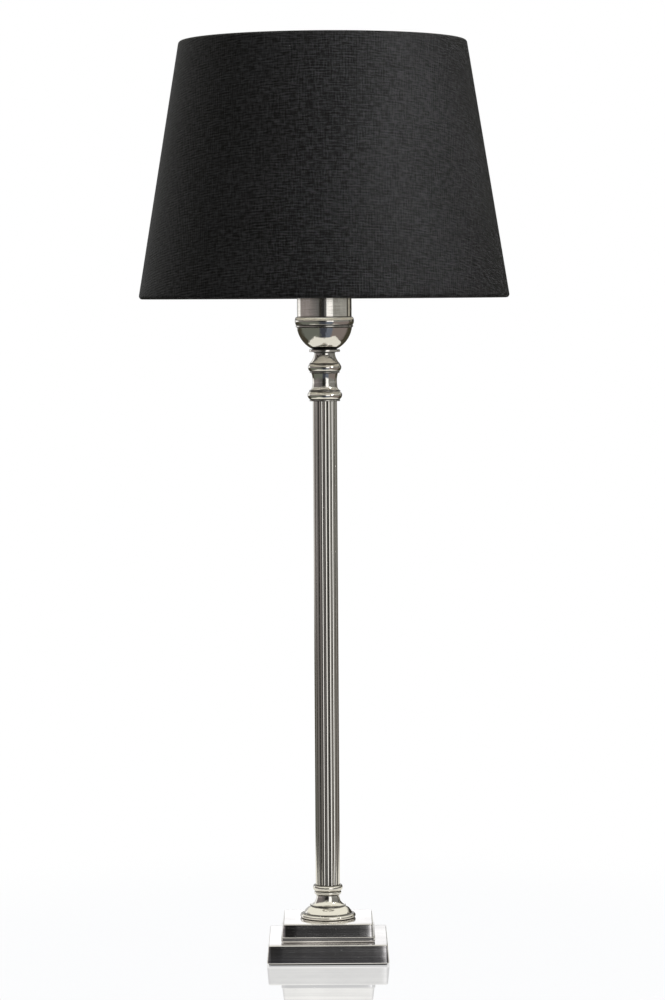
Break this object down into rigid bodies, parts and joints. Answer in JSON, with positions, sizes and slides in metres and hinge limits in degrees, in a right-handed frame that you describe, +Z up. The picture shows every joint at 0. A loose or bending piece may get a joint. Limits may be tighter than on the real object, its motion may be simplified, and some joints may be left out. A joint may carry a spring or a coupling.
{
  "type": "candlestick lamp",
  "caption": "Tall table lamp: stepped square plinth, reeded column with turned capital, cup and sleeve at the lampholder, and a tapered drum shade.",
  "frame": {"origin": "centre of the felt under the plinth, on the table", "axes": "+Z up along the column, +Y towards the back with the cord inlet and the shade's seam, -Y towards the picture's camera"},
  "size_m": [0.298, 0.2984, 0.739],
  "materials": {
    "felt": "matte",
    "dark_nickel": "polished",
    "antique_silver": "polished",
    "brushed_silver": "satin",
    "cast_iron": "matte",
    "zinced_steel": "satin",
    "black_rubber": "matte",
    "black_moulding": "gloss",
    "porcelain": "gloss",
    "contact_brass": "satin",
    "black_linen": "matte",
    "white_lining": "satin",
    "white_wire": "gloss",
    "opal_glass": "satin",
    "bulb_metal": "satin",
    "bulb_vitrite": "gloss"
  },
  "bodies": {
    "stand": {"felt_pad": "felt", "lower_plinth": "dark_nickel", "upper_plinth": "dark_nickel", "column_foot": "antique_silver", "column_tube": "antique_silver", "column_collar": "antique_silver", "capital_drum": "antique_silver", "capital_knop": "antique_silver", "cup_washer": "antique_silver", "socket_cup": "antique_silver", "socket_sleeve": "brushed_silver", "base_weight": "cast_iron", "weight_screws": "zinced_steel", "rod_nut": "zinced_steel", "lock_washer": "zinced_steel", "rod_washer": "zinced_steel", "central_rod": "zinced_steel", "cup_nut": "zinced_steel", "cord_bush": "black_rubber", "holder_cap": "black_moulding", "holder_skirt": "black_moulding", "holder_insert": "porcelain", "screw_shell": "contact_brass", "centre_contact": "contact_brass", "side_contact": "contact_brass", "terminal_screws": "contact_brass"},
    "shade": {"shade_fabric": "black_linen", "shade_lining": "white_lining", "bottom_wire_ring": "white_wire", "top_wire_ring": "white_wire", "fitter_ring": "white_wire", "fitter_arms": "white_wire"},
    "shade_ring": {"shade_ring": "black_moulding"},
    "bulb": {"bulb_glass": "opal_glass", "bulb_cap": "bulb_metal", "bulb_insulator": "bulb_vitrite", "bulb_tip": "bulb_metal"}
  },
  "joints": [
    {"name": "shade_turn", "type": "hinge", "parent": "stand", "child": "shade", "pos_m": [0, 0, 0.55365], "axis": [0, 0, 1], "continuous": true},
    {"name": "shade_ring_unscrew", "type": "slide", "parent": "stand", "child": "shade_ring", "axis": [0, 0, 1], "range_m": [0, 0.009]},
    {"name": "bulb_unscrew", "type": "slide", "parent": "stand", "child": "bulb", "axis": [0, 0, 1], "range_m": [0, 0.215]}
  ]
}
